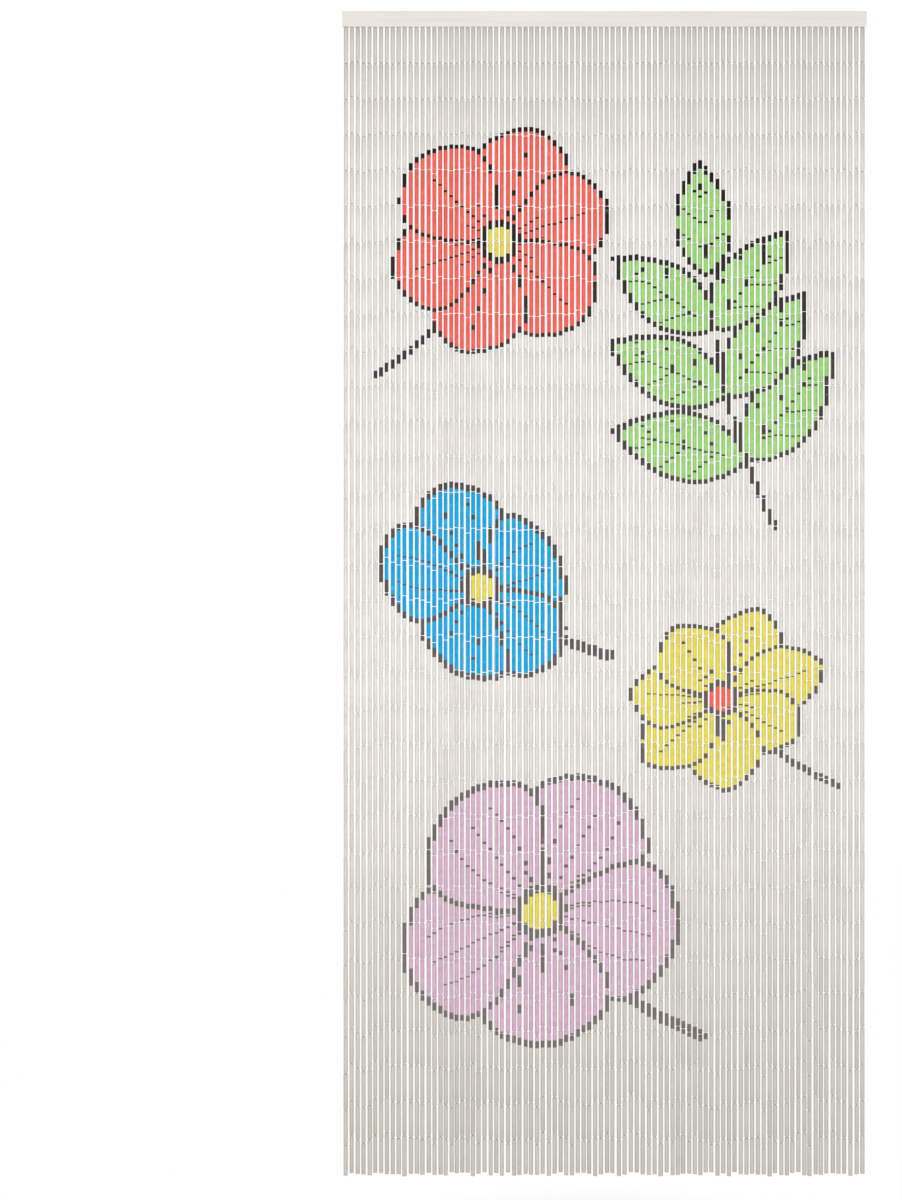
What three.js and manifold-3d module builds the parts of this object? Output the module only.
// Bamboo bead door curtain on a wooden head rail.
// Millimetres, +Z up. The origin is the middle of the rail's back face, which lies on the wall over a
// doorway. The strands hang from the rail's underside, and the painted front looks along -Y.

import * as THREE from "three";
import { mergeVertices } from "three/addons/utils/BufferGeometryUtils.js";
import Module from "manifold-3d";

// Driving dimensions
const CURTAIN_HEIGHT = 2000; // from the rail's top to the lowest tube
const RAIL_LENGTH = 900;
const RAIL_HEIGHT = 27;
const RAIL_DEPTH = 12;
const RAIL_EDGE_RADIUS = 1.2;
const FIELD_WIDTH = 894; // over the two outer strands
const STRAND_COUNT = 90;
const TUBE_DIAMETER = 7.4;
const ROOT_GAP = 0.8; // between the rail and each strand's first tube, where its wire eye shows

// How the strands differ: their ends are ragged, and they hang a little out of line
const END_SCATTER = 7.5; // from the shortest strand's end to the longest one's
const SIDE_LEAN = 0.7; // most that an end hangs to one side of its root
const SIDE_BOW = 0.35; // most that a strand's middle bows to one side
const DEPTH_LEAN = 0.9; // the same two, towards the front or the back
const DEPTH_BOW = 0.6;
const STRAND_STEPS = 6; // straight stretches along a bowed strand

// How unevenly the wire eyes stand along the rail: waves that are 0 at the two outer strands
const EYE_DRIFTS = [
  { halfWaves: 4, size: 1.2 },
  { halfWaves: 9, size: -0.8 },
  { halfWaves: 14, size: 0.4 },
];

// The strip that holds the strands' roots, parted from the rail
const PART_GAP = 0.3;
const STRIP_DEPTH = 1.8;
const STRIP_OVERLAP = 1.5; // how far the strip reaches down into the strands

// Derived sizes
const STRAND_PITCH = (FIELD_WIDTH - TUBE_DIAMETER) / (STRAND_COUNT - 1);
const STRAND_DEPTH = (Math.PI / 4) * TUBE_DIAMETER; // gives a strand the round tube's own section area
const STRAND_PLANE_Y = -RAIL_DEPTH / 2;
const RAIL_BOTTOM_Z = -RAIL_HEIGHT / 2;
const STRAND_TOP_Z = RAIL_BOTTOM_Z - ROOT_GAP;
const LONGEST_STRAND = CURTAIN_HEIGHT - RAIL_HEIGHT - ROOT_GAP;

// Streams of the repeatable scatter, one for each way in which the strands differ
const END_STREAM = 1;
const SIDE_LEAN_STREAM = 2;
const SIDE_BOW_STREAM = 3;
const DEPTH_LEAN_STREAM = 4;
const DEPTH_BOW_STREAM = 5;

const RAIL_WOOD = new THREE.MeshStandardMaterial({ color: 0xe9e4d6, roughness: 0.6, metalness: 0 });
const BAMBOO = new THREE.MeshStandardMaterial({ color: 0xe2d9c3, roughness: 0.55, metalness: 0 });

// A repeatable number from 0 to 1 for one strand: the fraction of a large multiple of a sine.
function scatter(strand, stream) {
  const wave = Math.sin(strand * 12.9898 + stream * 78.233) * 43758.5453;
  return wave - Math.floor(wave);
}

// The same as a number from -1 to 1.
function swing(strand, stream) {
  return 2 * scatter(strand, stream) - 1;
}

// A strand's sideways or fore-and-aft shift at a share of its length: a lean plus half a wave.
function shiftAt(share, lean, bow) {
  return lean * share + bow * Math.sin(Math.PI * share);
}

const wasm = await Module();
wasm.setup();

// A three.js geometry as a manifold solid, with its shared vertices merged.
function toSolid(geometry) {
  const bare = geometry.clone();
  bare.deleteAttribute("normal");
  bare.deleteAttribute("uv");
  const merged = mergeVertices(bare, 1e-4);
  return new wasm.Manifold(
    new wasm.Mesh({
      numProp: 3,
      vertProperties: merged.attributes.position.array,
      triVerts: new Uint32Array(merged.index.array),
    }),
  );
}

// A manifold solid back as a three.js geometry.
function toGeometry(solid) {
  const mesh = solid.getMesh();
  return new THREE.BufferGeometry()
    .setAttribute("position", new THREE.BufferAttribute(mesh.vertProperties, mesh.numProp))
    .setIndex(new THREE.BufferAttribute(mesh.triVerts, 1));
}

// The rail's section, a rectangle with rounded edges in the plane of the shape.
function railSection() {
  const halfHeight = RAIL_HEIGHT / 2;
  const radius = RAIL_EDGE_RADIUS;
  const section = new THREE.Shape();
  section.moveTo(0, radius - halfHeight);
  section.lineTo(0, halfHeight - radius);
  section.absarc(radius, halfHeight - radius, radius, Math.PI, Math.PI / 2, true);
  section.lineTo(RAIL_DEPTH - radius, halfHeight);
  section.absarc(RAIL_DEPTH - radius, halfHeight - radius, radius, Math.PI / 2, 0, true);
  section.lineTo(RAIL_DEPTH, radius - halfHeight);
  section.absarc(RAIL_DEPTH - radius, radius - halfHeight, radius, 0, -Math.PI / 2, true);
  section.lineTo(radius, -halfHeight);
  section.absarc(radius, radius - halfHeight, radius, -Math.PI / 2, -Math.PI, true);
  return section;
}

// The batten: its section runs along X, from the wall at Y 0 out to the front.
function makeRail() {
  const geometry = new THREE.ExtrudeGeometry(railSection(), {
    depth: RAIL_LENGTH,
    bevelEnabled: false,
    curveSegments: 4,
  });
  // The shape's first axis turns to -Y, its second to +Z, and the extrusion runs along -X.
  const turned = new THREE.Matrix4().makeBasis(
    new THREE.Vector3(0, -1, 0),
    new THREE.Vector3(0, 0, 1),
    new THREE.Vector3(-1, 0, 0),
  );
  geometry.applyMatrix4(turned);
  geometry.translate(RAIL_LENGTH / 2, 0, 0);
  const rail = new THREE.Mesh(geometry, RAIL_WOOD);
  rail.name = "head_rail";
  return rail;
}

// How far a strand's root stands to one side of its even place.
function eyeDrift(strand) {
  const share = strand / (STRAND_COUNT - 1);
  return EYE_DRIFTS.reduce((sum, { halfWaves, size }) => sum + size * Math.sin(Math.PI * halfWaves * share), 0);
}

// How much shorter each strand is than the longest one. The longest one's own value is 0.
function endGaps() {
  const gaps = Array.from({ length: STRAND_COUNT }, (_, strand) => END_SCATTER * scatter(strand, END_STREAM));
  const least = Math.min(...gaps);
  return gaps.map((gap) => gap - least);
}

// One hanging strand: a four-sided bar of straight stretches, bent along its lean and bow.
function strandGeometry(strand, length) {
  const geometry = new THREE.BoxGeometry(TUBE_DIAMETER, STRAND_DEPTH, length, 1, 1, STRAND_STEPS);
  const rootX = (strand - (STRAND_COUNT - 1) / 2) * STRAND_PITCH + eyeDrift(strand);
  const sideLean = SIDE_LEAN * swing(strand, SIDE_LEAN_STREAM);
  const sideBow = SIDE_BOW * swing(strand, SIDE_BOW_STREAM);
  const depthLean = DEPTH_LEAN * swing(strand, DEPTH_LEAN_STREAM);
  const depthBow = DEPTH_BOW * swing(strand, DEPTH_BOW_STREAM);
  const position = geometry.attributes.position;
  for (let corner = 0; corner < position.count; corner += 1) {
    const share = 0.5 - position.getZ(corner) / length;
    position.setXYZ(
      corner,
      position.getX(corner) + rootX + shiftAt(share, sideLean, sideBow),
      position.getY(corner) + STRAND_PLANE_Y + shiftAt(share, depthLean, depthBow),
      STRAND_TOP_Z - share * length,
    );
  }
  return geometry;
}

// The strip along the strands' roots, from outer strand to outer strand.
function stripGeometry() {
  const top = RAIL_BOTTOM_Z - PART_GAP;
  const height = top - (STRAND_TOP_Z - STRIP_OVERLAP);
  const geometry = new THREE.BoxGeometry(FIELD_WIDTH - TUBE_DIAMETER, STRIP_DEPTH, height);
  geometry.translate(0, STRAND_PLANE_Y, top - height / 2);
  return geometry;
}

// The strip and every strand, joined into one solid.
function makeCurtain() {
  const joined = endGaps().reduce(
    (solid, gap, strand) => solid.add(toSolid(strandGeometry(strand, LONGEST_STRAND - gap))),
    toSolid(stripGeometry()),
  );
  const curtain = new THREE.Mesh(toGeometry(joined), BAMBOO);
  curtain.name = "strand_curtain";
  return curtain;
}

const doorCurtain = new THREE.Group();
doorCurtain.add(makeRail(), makeCurtain());

export default doorCurtain;
